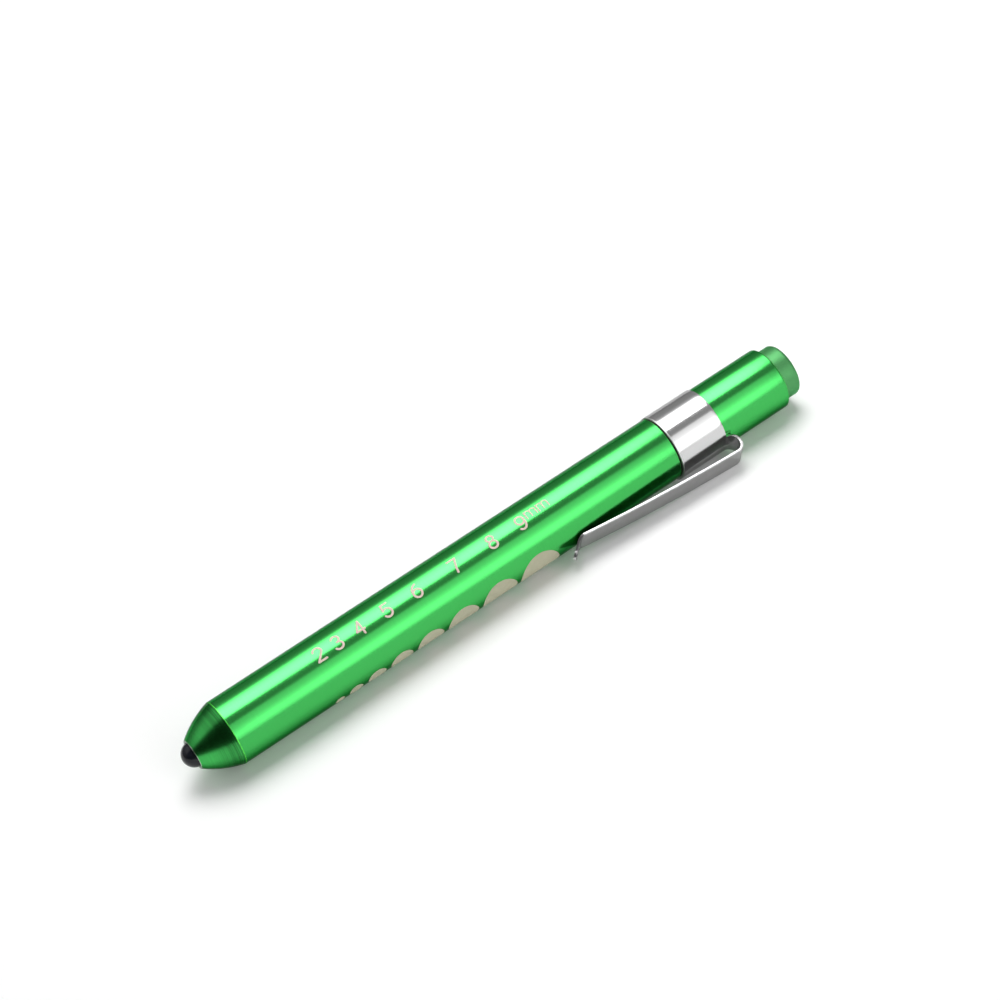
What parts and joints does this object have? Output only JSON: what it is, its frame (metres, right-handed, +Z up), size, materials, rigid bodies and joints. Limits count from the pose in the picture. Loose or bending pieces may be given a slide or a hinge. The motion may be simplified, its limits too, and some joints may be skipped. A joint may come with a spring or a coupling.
{
  "type": "penlight",
  "caption": "Slim metal penlight with a pupil gauge along its barrel, a spring pocket clip on a bright metal ring, a tail that unscrews for the cells and a click button in the tail's end.",
  "frame": {"origin": "on the table, under the middle of the lying pen's box", "axes": "+X along the barrel from the lamp to the button, +Z up from the table, and +Y square to both, so that the clip lies towards -Y and down"},
  "size_m": [0.1415, 0.0173, 0.0139],
  "materials": {
    "green_anodised": "bright green anodised aluminium, turned, with etched pale figures and discs",
    "green_matt": "blasted, matt green anodised aluminium",
    "lamp_dome": "clear moulded lamp dome that looks near black when unlit",
    "lead_wire": "tinned square wire",
    "black_plastic": "moulded black plastic",
    "white_plastic": "moulded white plastic",
    "brass": "stamped and turned brass",
    "cell_can": null,
    "cell_base": "plated steel",
    "cell_jacket": "plain shrunk film",
    "black_rubber": "black moulded ring",
    "bright_steel": "bright plated spring steel strip",
    "spring_wire": "plated spring wire"
  },
  "bodies": {
    "barrel": {"barrel": "green_anodised", "led_lens": "lamp_dome", "led_anode_lead": "lead_wire", "led_cathode_lead": "lead_wire", "led_holder": "black_plastic", "front_contact": "brass", "front_cell_can": "cell_can", "front_cell_base": "cell_base", "front_cell_sleeve": "cell_jacket", "rear_cell_can": "cell_can", "rear_cell_base": "cell_base", "rear_cell_sleeve": "cell_jacket"},
    "ring": {"clip_ring": "bright_steel", "gasket": "black_rubber"},
    "clip": {"clip_arm": "bright_steel"},
    "tail": {"tail_tube": "green_anodised", "battery_spring": "spring_wire", "contact_plate": "brass", "retaining_ring": "brass", "switch_cap": "white_plastic", "switch_body": "white_plastic", "switch_spring": "spring_wire"},
    "button": {"push_button": "green_matt", "switch_plunger": "black_plastic"},
    "rotor": {"switch_rotor": "brass"}
  },
  "joints": [
    {"name": "ring_draw", "type": "slide", "parent": "barrel", "child": "ring", "axis": [1, 0, 0], "range_m": [0, 0.0045]},
    {"name": "tail_unscrew", "type": "hinge", "parent": "ring", "child": "tail", "pos_m": [0.04009, 0.00184, 0.00702], "axis": [1, 0, 0], "range_deg": [0, 2160]},
    {"name": "clip_lift", "type": "hinge", "parent": "ring", "child": "clip", "pos_m": [0.05255, -0.00577, 0.00322], "axis": [0, -0.4467, 0.8947], "range_deg": [0, 4], "stiffness_Nm_per_rad": 0.9, "springref_deg": -1.15},
    {"name": "button_press", "type": "slide", "parent": "tail", "child": "button", "axis": [-1, 0, 0], "range_m": [0, 0.002], "stiffness_N_per_m": 1200, "springref_m": -0.0008, "deforming": ["switch_spring"]},
    {"name": "rotor_index", "type": "hinge", "parent": "button", "child": "rotor", "pos_m": [0.04855, 0.00184, 0.00702], "axis": [1, 0, 0], "range_deg": [0, 45]}
  ],
  "couplings": [
    {"joint": "tail_unscrew", "follows": "ring_draw", "rad_per_m": 8377.5},
    {"joint": "rotor_index", "follows": "button_press", "rad_per_m": 392.69}
  ]
}
